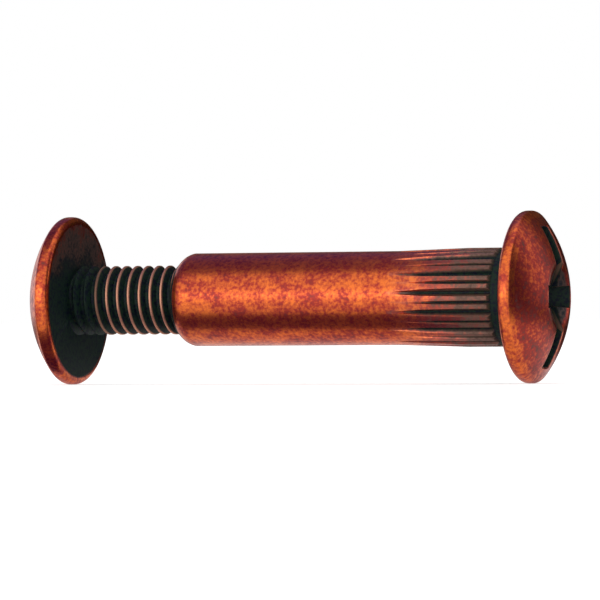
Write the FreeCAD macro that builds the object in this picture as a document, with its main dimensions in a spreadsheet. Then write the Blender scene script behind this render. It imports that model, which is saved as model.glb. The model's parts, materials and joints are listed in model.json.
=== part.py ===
"""Binding barrel screw: a barrel nut and the male screw that threads into it.

Each piece is drawn in the same way: the bearing face of its domed head lies at x = 0, the head reaches
towards -x and the shank towards +x. The placements at the end turn the barrel nut about and set the screw
opposite it, so that the origin is the centre of the barrel nut's bearing face, its shank runs towards -X
and +Z is up. Lengths are millimetres and angles are degrees.
"""
import FreeCAD, Part
import math
import os
from types import SimpleNamespace

import Sketcher

SHEET = "Sizes"

SIZES = {
    # Domed head, the same on both pieces
    "head_diameter": 14.4,
    "head_height": 3.6,
    "head_under_chamfer": 0.42,
    "head_rim_land": 0.38,
    "head_crown_radius": 0.4,
    # Straight slot and cross recess of the head, and the shallow cone that leads into them
    "slot_width": 1.6,
    "slot_depth": 1.75,
    "recess_entry_diameter": 7.8,
    "recess_entry_depth": 1.37,
    "recess_span": 6.6,
    "recess_wing": 2.0,
    "recess_depth": 2.5,
    "recess_floor_span": 2.9,
    "recess_floor_wing": 1.3,
    "recess_point_depth": 0.4,
    # Barrel of the nut
    "barrel_diameter": 7.9,
    "barrel_length": 30.5,
    "barrel_neck_flare": 0.25,
    "nose_length": 1.2,
    "nose_drop": 0.82,
    # Ribbed part of the barrel that bites into the hole
    "collar_length": 1.6,
    "rib_diameter": 8.3,
    "rib_shoulder": 0.3,
    "rib_full_length": 4.65,
    "rib_taper_end": 10.9,
    # Flutes between the ribs: a broad one and a narrow one by turns
    "flute_pairs": 15,
    "broad_width": 0.72,
    "broad_floor": 0.12,
    "broad_depth": 0.4,
    "broad_run_out": 7.8,
    "broad_tip": 10.6,
    "narrow_width": 0.36,
    "narrow_floor": 0.06,
    "narrow_depth": 0.24,
    "narrow_run_out": 6.6,
    "narrow_tip": 9.2,
    # Thread and bore
    "thread_diameter": 5.9,
    "thread_clearance": 0.15,
    "screw_length": 20.0,
    "screw_point_chamfer": 0.8,
    "bore_depth": 23.0,
    "drill_angle": 118.0,
    # How far the screw stands out of the barrel
    "screw_gap": 9.7,
}

OVERRUN = 0.5  # how far a cutter starts outside the metal
RUN_ON = 1.25  # how far a flute's climbing cutter goes, as a share of the way to its tip
NECK_FIT = 3  # how many times the screw's neck flare goes into the thread's clearance


class Quantity:
    """A size held both as a number to draw with and as the sheet expression that it is bound to."""

    def __init__(self, value, text):
        self.value = float(value)
        self.text = str(text)

    @staticmethod
    def of(other):
        return other if isinstance(other, Quantity) else Quantity(other, other)

    def __add__(self, other):
        other = Quantity.of(other)
        return Quantity(self.value + other.value, f"({self.text} + {other.text})")

    def __sub__(self, other):
        other = Quantity.of(other)
        return Quantity(self.value - other.value, f"({self.text} - {other.text})")

    def __mul__(self, other):
        other = Quantity.of(other)
        return Quantity(self.value * other.value, f"({self.text} * {other.text})")

    def __truediv__(self, other):
        other = Quantity.of(other)
        return Quantity(self.value / other.value, f"({self.text} / {other.text})")

    def __neg__(self):
        return Quantity(-self.value, f"(-{self.text})")


ZERO = Quantity(0.0, "0")


def make_sheet(doc):
    """Writes the driving sizes into a spreadsheet and returns them as quantities."""
    sheet = doc.addObject("Spreadsheet::Sheet", SHEET)
    for row, (name, value) in enumerate(SIZES.items(), start=1):
        sheet.set(f"A{row}", name)
        sheet.set(f"B{row}", str(value))
        sheet.setAlias(f"B{row}", name)
    doc.recompute()
    return SimpleNamespace(**{name: Quantity(value, f"{SHEET}.{name}") for name, value in SIZES.items()})


def new_body(doc, label):
    """An empty body whose label names the piece."""
    body = doc.addObject("PartDesign::Body", label)
    body.Label = label
    return body


def new_sketch(body, name, role, offset=ZERO, turn=ZERO):
    """A sketch on one of the body's own origin planes, moved along its normal and turned about it."""
    sketch = body.newObject("Sketcher::SketchObject", name)
    plane = next(item for item in body.Origin.OriginFeatures if item.Role == role)
    sketch.AttachmentSupport = [(plane, "")]
    sketch.MapMode = "FlatFace"
    sketch.AttachmentOffset = FreeCAD.Placement(
        FreeCAD.Vector(0, 0, offset.value), FreeCAD.Rotation(FreeCAD.Vector(0, 0, 1), turn.value)
    )
    if offset is not ZERO:
        sketch.setExpression("AttachmentOffset.Base.z", offset.text)
    if turn is not ZERO:
        sketch.setExpression("AttachmentOffset.Rotation.Angle", turn.text)
    return sketch


def bind(sketch, quantity, kind, *where):
    """Adds a dimension to a sketch and ties it to the sheet."""
    index = sketch.addConstraint(Sketcher.Constraint(kind, *where, quantity.value))
    sketch.setExpression(f"Constraints[{index}]", quantity.text)


def tie(sketch, kind, *where):
    """Adds a geometric relation to a sketch."""
    sketch.addConstraint(Sketcher.Constraint(kind, *where))


def pin(sketch, edge, end, across, up):
    """Fixes one end of an edge at sheet-driven coordinates from the sketch's origin."""
    for quantity, kind, axis in ((across, "DistanceX", -2), (up, "DistanceY", -1)):
        if quantity is ZERO:
            tie(sketch, "PointOnObject", edge, end, axis)
        elif quantity.value < 0:
            bind(sketch, -quantity, kind, edge, end, -1, 1)
        else:
            bind(sketch, quantity, kind, -1, 1, edge, end)


def draw_line(sketch, start, end):
    """A straight edge between two points given as pairs of quantities."""
    first = FreeCAD.Vector(start[0].value, start[1].value, 0)
    last = FreeCAD.Vector(end[0].value, end[1].value, 0)
    return sketch.addGeometry(Part.LineSegment(first, last), False)


def draw_arc(sketch, centre, radius, start, end):
    """An arc, counter-clockwise from start to end, both in degrees. Its centre is a pair of numbers."""
    circle = Part.Circle(FreeCAD.Vector(*centre, 0), FreeCAD.Vector(0, 0, 1), radius)
    return sketch.addGeometry(Part.ArcOfCircle(circle, math.radians(start), math.radians(end)), False)


def draw_polygon(sketch, corners):
    """A closed outline of straight edges, each corner pinned to the sheet."""
    edges = [draw_line(sketch, *pair) for pair in zip(corners, corners[1:] + corners[:1])]
    for edge, following in zip(edges, edges[1:] + edges[:1]):
        tie(sketch, "Coincident", edge, 2, following, 1)
    for edge, corner in zip(edges, corners):
        pin(sketch, edge, 1, *corner)


def draw_path(sketch, corners):
    """An open run of straight edges, returned in order. Each inner corner is pinned to the sheet."""
    edges = [draw_line(sketch, *pair) for pair in zip(corners, corners[1:])]
    for edge, following, corner in zip(edges, edges[1:], corners[1:]):
        tie(sketch, "Coincident", edge, 2, following, 1)
        pin(sketch, edge, 2, *corner)
    return edges


def draw_head(sketch, size, neck):
    """Half section of the domed head, from the neck along the bearing face and round the rim to the crown.

    Returns the bearing face's edge, whose end 1 is the top of the neck's flare, and the crown's arc, whose
    end 2 is the apex.
    """
    rim = size.head_diameter / 2
    under = size.head_under_chamfer
    land = under + size.head_rim_land

    # The crown's sphere touches the edge rounding from inside and passes through the apex.
    rise = size.head_height.value - land.value
    edge_radius = size.head_crown_radius.value
    reach = rim.value - edge_radius
    crown_radius = (rise**2 + reach**2 - edge_radius**2) / (2 * (rise - edge_radius))
    crown_centre = crown_radius - size.head_height.value
    slope = 180 - math.degrees(math.atan2(reach, crown_centre + land.value))

    bearing, _, rim_land = draw_path(
        sketch, [(ZERO, neck), (ZERO, rim - under), (-under, rim), (-land, rim)]
    )
    edge = draw_arc(sketch, (-land.value, reach), edge_radius, 90, slope)
    crown = draw_arc(sketch, (crown_centre, 0), crown_radius, slope, 180)
    pin(sketch, bearing, 1, ZERO, neck)
    pin(sketch, rim_land, 2, -land, rim)
    tie(sketch, "Tangent", rim_land, 2, edge, 1)
    tie(sketch, "Tangent", edge, 2, crown, 1)
    tie(sketch, "PointOnObject", crown, 3, -1)
    tie(sketch, "PointOnObject", crown, 2, -1)
    bind(sketch, size.head_crown_radius, "Radius", edge)
    bind(sketch, size.head_height, "DistanceX", crown, 2, -1, 1)
    return bearing, crown


def draw_turned_piece(sketch, size, shank):
    """Half section of a whole turned piece: its head, its axis and its shank.

    The shank is a list of corners from the far end of the axis back to the foot of the neck's flare, which
    widens by as much as it is long.
    """
    flare, radius = shank[-1]
    neck = radius + flare
    bearing, crown = draw_head(sketch, size, neck)
    edges = draw_path(sketch, [(-size.head_height, ZERO)] + shank + [(ZERO, neck)])
    tie(sketch, "Coincident", crown, 2, edges[0], 1)
    tie(sketch, "Coincident", edges[-1], 2, bearing, 1)


def barrel_corners(size):
    """Outline of the barrel nut's shank before its bore and flutes are cut."""
    barrel = size.barrel_diameter / 2
    crest = size.rib_diameter / 2
    return [
        (size.barrel_length, ZERO),
        (size.barrel_length, barrel - size.nose_drop),
        (size.barrel_length - size.nose_length, barrel),
        (size.rib_taper_end, barrel),
        (size.rib_full_length, crest),
        (size.collar_length + size.rib_shoulder, crest),
        (size.collar_length, barrel),
        (size.barrel_neck_flare, barrel),
    ]


def screw_corners(size):
    """Outline of the male screw's shank, which is the cylinder of the thread's crests.

    Its neck flares so little that it enters the bore when the head comes home on the barrel's mouth.
    """
    crest = size.thread_diameter / 2
    chamfer = size.screw_point_chamfer
    flare = size.thread_clearance / NECK_FIT
    return [
        (size.screw_length, ZERO),
        (size.screw_length, crest - chamfer),
        (size.screw_length - chamfer, crest),
        (flare, crest),
    ]


def revolve(body, sketch):
    """Turns a half section about the body's x axis."""
    turned = body.newObject("PartDesign::Revolution", "Turned")
    turned.Profile = sketch
    turned.ReferenceAxis = (sketch, ["H_Axis"])
    turned.Angle = 360
    body.Tip = turned
    return turned


def cut_bore(doc, body, size):
    """Drills the blind hole that takes the screw, from the barrel's mouth."""
    sketch = new_sketch(body, "BoreMouth", "YZ_Plane", size.barrel_length)
    radius = (size.thread_diameter + size.thread_clearance) / 2
    circle = Part.Circle(FreeCAD.Vector(0, 0, 0), FreeCAD.Vector(0, 0, 1), radius.value)
    edge = sketch.addGeometry(circle, False)
    tie(sketch, "Coincident", edge, 3, -1, 1)
    bind(sketch, radius, "Radius", edge)
    doc.recompute()
    bore = body.newObject("PartDesign::Hole", "Bore")
    bore.Profile = sketch
    bore.ThreadType = 0
    bore.HoleCutType = 0
    bore.DepthType = 0
    bore.DrillPoint = 1
    bore.setExpression("Diameter", (radius * 2).text)
    bore.setExpression("Depth", size.bore_depth.text)
    bore.setExpression("DrillPointAngle", size.drill_angle.text)
    body.Tip = bore


def flute_section(body, name, along, turn, corners):
    """The cross-section of a flute's cutter, standing upright or turned about the axis."""
    sketch = new_sketch(body, name, "YZ_Plane", along, turn)
    draw_polygon(sketch, corners)
    return sketch


def cut_flutes(body, size, kind, turn):
    """Cuts one kind of flute and repeats it round the barrel.

    A flute runs at full depth from the collar, then its section climbs straight out of the metal, so that
    it narrows to its tip.
    """
    width, floor_width, depth, run_out, tip = (
        getattr(size, f"{kind}_{part}") for part in ("width", "floor", "depth", "run_out", "tip")
    )
    crest = size.rib_diameter / 2
    floor = crest - depth
    fall = (size.rib_diameter - size.barrel_diameter) / 2 / (size.rib_taper_end - size.rib_full_length)
    climb = crest - fall * (tip - size.rib_full_length) - floor
    half_floor = floor_width / 2
    half_top = half_floor + (width - floor_width) / 2 * (depth + OVERRUN) / depth
    top = crest + OVERRUN
    corners = [(-half_floor, floor), (half_floor, floor), (half_top, top), (-half_top, top)]
    title = f"{kind.capitalize()}Flute"

    flute = body.newObject("PartDesign::Pocket", title)
    flute.Profile = flute_section(body, f"{title}Section", size.collar_length, turn, corners)
    flute.Reversed = True
    flute.setExpression("Length", (run_out - size.collar_length).text)

    exit_section = flute_section(body, f"{title}RunOutSection", run_out, turn, corners)
    exit_cut = body.newObject("PartDesign::Pocket", f"{title}RunOut")
    exit_cut.Profile = exit_section
    exit_cut.UseCustomVector = True
    exit_cut.setExpression("Direction.x", (tip - run_out).text)
    exit_cut.setExpression("Direction.y", f"-({climb.text} * sin({turn.text} * 1 deg))")
    exit_cut.setExpression("Direction.z", f"({climb.text} * cos({turn.text} * 1 deg))")
    exit_cut.setExpression("Length", ((tip - run_out) * RUN_ON).text)

    ring = body.newObject("PartDesign::PolarPattern", f"{title}s")
    ring.Originals = [flute, exit_cut]
    ring.Axis = (exit_section, ["N_Axis"])
    ring.Angle = 360
    ring.setExpression("Occurrences", size.flute_pairs.text)
    body.Tip = ring


def cut_slot(body, size):
    """Cuts the straight slot across the crown. It runs out where its floor meets the dome."""
    half = size.slot_width / 2
    outside = -(size.head_height + OVERRUN)
    floor = -(size.head_height - size.slot_depth)
    sketch = new_sketch(body, "SlotSection", "XY_Plane")
    draw_polygon(sketch, [(outside, -half), (floor, -half), (floor, half), (outside, half)])
    slot = body.newObject("PartDesign::Pocket", "Slot")
    slot.Profile = sketch
    slot.Midplane = True
    slot.setExpression("Length", size.head_diameter.text)
    body.Tip = slot


def cut_entry(body, size):
    """Cuts the shallow cone that leads a driver's tip into the recess."""
    tip = -(size.head_height - size.recess_entry_depth)
    outside = -(size.head_height + OVERRUN)
    reach = (size.recess_entry_depth + OVERRUN) / size.recess_entry_depth
    mouth = size.recess_entry_diameter / 2 * reach
    sketch = new_sketch(body, "EntrySection", "XY_Plane")
    draw_polygon(sketch, [(tip, ZERO), (outside, mouth), (outside, ZERO)])
    entry = body.newObject("PartDesign::Groove", "Entry")
    entry.Profile = sketch
    entry.ReferenceAxis = (sketch, ["H_Axis"])
    entry.Angle = 360
    body.Tip = entry


def cut_wings(body, size, name, along):
    """Cuts one opposed pair of the cross recess's wings, tapering from the crown to the recess floor."""
    outward = FreeCAD.Vector(-1, 0, 0)
    floor = size.head_height - size.recess_depth
    reach = (size.recess_depth + OVERRUN) / size.recess_depth
    wings = body.newObject("PartDesign::SubtractiveWedge", name)
    wings.Placement = FreeCAD.Placement(
        FreeCAD.Vector(-floor.value, 0, 0), FreeCAD.Rotation(along, outward, along.cross(outward), "XYZ")
    )
    wings.setExpression("Placement.Base.x", (-floor).text)
    wings.Ymin = 0
    wings.setExpression("Ymax", (size.recess_depth + OVERRUN).text)
    for axis, top, bottom in (
        ("X", size.recess_span, size.recess_floor_span),
        ("Z", size.recess_wing, size.recess_floor_wing),
    ):
        half_floor = bottom / 2
        half_top = half_floor + (top - bottom) / 2 * reach
        wings.setExpression(f"{axis}min", (-half_floor).text)
        wings.setExpression(f"{axis}max", half_floor.text)
        wings.setExpression(f"{axis}2min", (-half_top).text)
        wings.setExpression(f"{axis}2max", half_top.text)
    body.Tip = wings


def cut_cross(body, size):
    """Cuts the cross recess: two crossed pairs of tapered wings and the pointed pit in their floor."""
    cut_wings(body, size, "WingsAlongSlot", FreeCAD.Vector(0, 0, 1))
    cut_wings(body, size, "WingsAcrossSlot", FreeCAD.Vector(0, 1, 0))
    floor = -(size.head_height - size.recess_depth)
    pit_radius = size.recess_floor_wing / 2
    sketch = new_sketch(body, "PitSection", "XY_Plane")
    draw_polygon(sketch, [(floor, ZERO), (floor + size.recess_point_depth, ZERO), (floor, pit_radius)])
    pit = body.newObject("PartDesign::Groove", "Pit")
    pit.Profile = sketch
    pit.ReferenceAxis = (sketch, ["H_Axis"])
    pit.Angle = 360
    body.Tip = pit


def cut_drive(body, size):
    """Cuts the combined slot and cross of a head, with the cone that leads into them."""
    cut_slot(body, size)
    cut_entry(body, size)
    cut_cross(body, size)


def make_barrel_nut(doc, size):
    """The barrel nut: domed head, ribbed barrel and blind bore in one piece."""
    body = new_body(doc, "barrel_nut")
    section = new_sketch(body, "BarrelSection", "XY_Plane")
    draw_turned_piece(section, size, barrel_corners(size))
    revolve(body, section)
    doc.recompute()
    cut_bore(doc, body, size)
    cut_flutes(body, size, "broad", Quantity(180, 180) / size.flute_pairs)
    cut_flutes(body, size, "narrow", ZERO)
    cut_drive(body, size)
    body.Placement = FreeCAD.Placement(FreeCAD.Vector(), FreeCAD.Rotation(FreeCAD.Vector(0, 0, 1), 180))
    return body


def make_male_screw(doc, size):
    """The male screw: the same domed head on a shank that carries the thread."""
    body = new_body(doc, "male_screw")
    section = new_sketch(body, "ScrewSection", "XY_Plane")
    draw_turned_piece(section, size, screw_corners(size))
    revolve(body, section)
    doc.recompute()
    cut_drive(body, size)
    body.setExpression("Placement.Base.x", (-(size.barrel_length + size.screw_gap)).text)
    return body


def check(doc, pieces):
    """Stops if any object failed, any cut removed nothing or any piece is not one valid solid."""
    for item in doc.Objects:
        if "Invalid" in item.State or "Error" in item.State:
            raise RuntimeError(f"{item.Name} failed: {item.State}")
    for piece in pieces:
        features = [item for item in piece.Group if item.isDerivedFrom("PartDesign::Feature")]
        for before, after in zip(features, features[1:]):
            if after.Shape.Volume >= before.Shape.Volume:
                raise RuntimeError(f"{after.Name} of {piece.Label} removes nothing")
        if piece.Shape.isNull() or not piece.Shape.isValid() or len(piece.Shape.Solids) != 1:
            raise RuntimeError(f"{piece.Label} is not one valid solid")


def main():
    """Builds the document and writes each piece to its own STEP file."""
    doc = FreeCAD.newDocument("BindingBarrelScrew")
    size = make_sheet(doc)
    pieces = [make_barrel_nut(doc, size), make_male_screw(doc, size)]
    doc.recompute()
    check(doc, pieces)
    os.makedirs("parts", exist_ok=True)
    for piece in pieces:
        piece.Shape.exportStep(f"parts/{piece.Label}.step")
        box = piece.Shape.BoundBox
        print(f"{piece.Label}: {piece.Shape.Volume:.1f} mm3, x {box.XMin:.2f} to {box.XMax:.2f}")


main()
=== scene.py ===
"""Binding barrel screw in antique copper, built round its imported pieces.

The barrel nut and the male screw each stand in for the plain solid of the same name. Both are shaped in one
working frame, in millimetres: the bearing face of the domed head lies at x = 0, the crown points along +X and
the shank runs along -X. A finished piece is then brought to metres and set in its place on the common axis.
"""

import json
import logging
import math
from collections.abc import Callable, Sequence
from dataclasses import dataclass, field
from enum import Enum

import bmesh
import bpy
from mathutils import Matrix, Vector

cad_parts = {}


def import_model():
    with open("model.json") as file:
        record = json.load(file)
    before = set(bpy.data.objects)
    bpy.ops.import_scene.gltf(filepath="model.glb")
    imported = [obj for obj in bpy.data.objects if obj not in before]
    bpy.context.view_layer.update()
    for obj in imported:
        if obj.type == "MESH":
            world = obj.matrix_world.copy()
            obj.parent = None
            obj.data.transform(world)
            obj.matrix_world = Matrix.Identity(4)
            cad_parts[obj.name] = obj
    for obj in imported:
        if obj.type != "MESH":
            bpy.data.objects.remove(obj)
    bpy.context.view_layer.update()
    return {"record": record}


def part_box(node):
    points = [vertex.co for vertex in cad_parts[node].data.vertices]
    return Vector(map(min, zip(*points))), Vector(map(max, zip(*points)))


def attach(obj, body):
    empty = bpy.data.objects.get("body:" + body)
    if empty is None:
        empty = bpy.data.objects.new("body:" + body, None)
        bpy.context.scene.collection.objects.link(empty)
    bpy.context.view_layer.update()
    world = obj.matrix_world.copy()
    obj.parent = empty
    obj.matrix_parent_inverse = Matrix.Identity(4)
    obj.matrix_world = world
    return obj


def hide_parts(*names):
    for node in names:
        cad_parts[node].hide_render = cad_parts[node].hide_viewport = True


LOG = logging.getLogger("barrel_screw")
MM = 0.001  # metres in a millimetre
WELD = 0.0005  # mm, under which two points are one
SMOOTH_ANGLE = math.radians(32)

Point = tuple[float, float]


# --- Working by hand: lathe, prism, helix and cutting ------------------------------------------------------


class Cut(Enum):
    """How a tool shape changes the piece that it meets."""

    REMOVE = "DIFFERENCE"
    ADD = "UNION"


class Handle(Enum):
    """Attributes that the finishes read from a piece's surface."""

    # shelter: oxide kept in the hollows, and on the screw's bearing face painted light that makes its upper part
    # lighter
    SHELTER = "shelter"
    # wear: rubbed plating on crests and lips, painted pale as their highlight too, and held back as painted shade
    # on the screw's thread next to the head
    WEAR = "wear"


def held(value: float) -> float:
    """A number held between 0 and 1."""
    return min(1.0, max(0.0, value))


def pick(piece: bpy.types.Object) -> None:
    """Makes a piece the only selected and the active one.

    Args:
        piece: The object to work on.
    """
    bpy.ops.object.select_all(action="DESELECT")
    piece.select_set(True)
    bpy.context.view_layer.objects.active = piece


def arc(centre: Point, radius: float, start: float, end: float, count: int) -> list[Point]:
    """Points of an arc in the half plane of a lathe outline.

    Args:
        centre: The arc's centre, as its place along the axis and its distance from it.
        radius: The arc's radius.
        start: Angle of the first point in degrees, from the +X direction towards the rim.
        end: Angle of the last point in degrees.
        count: How many chords make the arc.

    Returns:
        The arc's points, both ends included.
    """
    angles = [math.radians(start + (end - start) * i / count) for i in range(count + 1)]
    return [(centre[0] + radius * math.cos(a), centre[1] + radius * math.sin(a)) for a in angles]


def draw_wire(name: str, points: Sequence[Vector], closed: bool = False) -> bpy.types.Object:
    """Draws a chain of edges, from a plane that is merged to a point and extruded.

    Args:
        name: Name of the new object.
        points: The chain's points.
        closed: Whether the chain comes back to its first point.

    Returns:
        The new object, left in edit mode with everything selected.
    """
    bpy.ops.object.select_all(action="DESELECT")
    bpy.ops.mesh.primitive_plane_add(size=1)
    piece = bpy.context.object
    piece.name = name
    bpy.ops.object.mode_set(mode="EDIT")
    bpy.ops.mesh.select_all(action="SELECT")
    bpy.ops.mesh.merge(type="CENTER")
    bpy.ops.transform.translate(value=points[0])
    route = list(points) + [points[0]] * closed
    for before, after in zip(route, route[1:]):
        bpy.ops.mesh.extrude_region_move(TRANSFORM_OT_translate={"value": after - before})
    bpy.ops.mesh.select_all(action="SELECT")
    bpy.ops.mesh.remove_doubles(threshold=WELD)
    return piece


def half_section(outline: Sequence[Point]) -> list[Vector]:
    """Stands an outline of places along the axis and radii up in the XZ plane."""
    return [Vector((x, 0.0, radius)) for x, radius in outline]


def close_up() -> None:
    """Merges doubles, turns the normals outwards and leaves edit mode."""
    bpy.ops.mesh.select_all(action="SELECT")
    bpy.ops.mesh.remove_doubles(threshold=WELD)
    bpy.ops.mesh.normals_make_consistent(inside=False)
    bpy.ops.object.mode_set(mode="OBJECT")


def turn_on_lathe(name: str, outline: Sequence[Point], steps: int) -> bpy.types.Object:
    """Spins an outline that begins and ends on the X axis into a closed solid.

    Args:
        name: Name of the new object.
        outline: The half section, as places along the axis and radii.
        steps: How many facets go round.

    Returns:
        The turned solid, in object mode.
    """
    piece = draw_wire(name, half_section(outline))
    bpy.ops.mesh.spin(steps=steps, angle=2 * math.pi, center=(0, 0, 0), axis=(1, 0, 0))
    close_up()
    return piece


def carry_section(name: str, sections: Sequence[Sequence[Vector]]) -> bpy.types.Object:
    """Draws a flat section and extrudes its face on to each following one.

    Args:
        name: Name of the new object.
        sections: The corners of each section in the same order, at least one section.

    Returns:
        The new object, left in edit mode with everything selected.
    """
    piece = draw_wire(name, sections[0], closed=True)
    bpy.ops.mesh.edge_face_add()
    for before, after in zip(sections, sections[1:]):
        bpy.ops.mesh.extrude_region_move()
        shape = bmesh.from_edit_mesh(piece.data)
        for vertex in (v for v in shape.verts if v.select):
            vertex.co = after[min(range(len(before)), key=lambda i: (vertex.co - before[i]).length)]
        bmesh.update_edit_mesh(piece.data)
    bpy.ops.mesh.select_all(action="SELECT")
    return piece


def make_prism(name: str, sections: Sequence[Sequence[Vector]]) -> bpy.types.Object:
    """Makes a closed solid through two or more flat sections.

    Args:
        name: Name of the new object.
        sections: The corners of each section in the same order.

    Returns:
        The solid, in object mode.
    """
    piece = carry_section(name, sections)
    close_up()
    return piece


def wind_helix(name: str, section: Sequence[Point], pitch: float, turns: int, steps: int) -> bpy.types.Object:
    """Winds a closed section round the X axis into a right-handed ridge with closed ends.

    Args:
        name: Name of the new object.
        section: The ridge's section, as places along the axis and radii.
        pitch: How far the ridge climbs in one turn, along +X.
        turns: How many whole turns it makes.
        steps: How many facets one turn has.

    Returns:
        The closed ridge, in object mode.
    """
    piece = draw_wire(name, half_section(section), closed=True)
    bpy.ops.object.mode_set(mode="OBJECT")
    winding = piece.modifiers.new("Winding", "SCREW")
    winding.axis = "X"
    winding.angle = 2 * math.pi
    winding.screw_offset = pitch
    winding.iterations = turns
    winding.steps = winding.render_steps = steps
    bpy.ops.object.modifier_apply(modifier=winding.name)
    bpy.ops.object.mode_set(mode="EDIT")
    bpy.ops.mesh.select_mode(type="EDGE")
    bpy.ops.mesh.select_all(action="DESELECT")
    bpy.ops.mesh.select_non_manifold(use_wire=False, use_multi_face=False, use_non_contiguous=False)
    bpy.ops.mesh.edge_face_add()
    bpy.ops.mesh.select_mode(type="VERT")
    close_up()
    return piece


def combine(piece: bpy.types.Object, tool: bpy.types.Object, how: Cut) -> None:
    """Applies a tool shape to a piece and puts the tool away.

    Args:
        piece: The object that is changed.
        tool: The shape that changes it, which is removed afterwards.
        how: Whether the tool's room is removed or added.
    """
    boolean = piece.modifiers.new("Combine", "BOOLEAN")
    boolean.operation = how.value
    boolean.solver = "EXACT"
    boolean.object = tool
    pick(piece)
    bpy.ops.object.modifier_apply(modifier=boolean.name)
    bpy.data.objects.remove(tool, do_unlink=True)


def repeat_round(tool: bpy.types.Object, count: int, start: float) -> bpy.types.Object:
    """Copies a tool evenly round the X axis and joins the copies.

    Args:
        tool: The shape to repeat.
        count: How many of it there are in the end.
        start: Angle of the first one, in radians.

    Returns:
        One object that holds all the copies.
    """
    copies = []
    for i in range(count):
        copy = tool.copy()
        copy.data = tool.data.copy()
        copy.data.transform(Matrix.Rotation(start + 2 * math.pi * i / count, 4, "X"))
        bpy.context.scene.collection.objects.link(copy)
        copies.append(copy)
    bpy.data.objects.remove(tool, do_unlink=True)
    pick(copies[0])
    for copy in copies:
        copy.select_set(True)
    bpy.ops.object.join()
    return copies[0]


# --- The domed head, the same on both pieces ---------------------------------------------------------------


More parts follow.
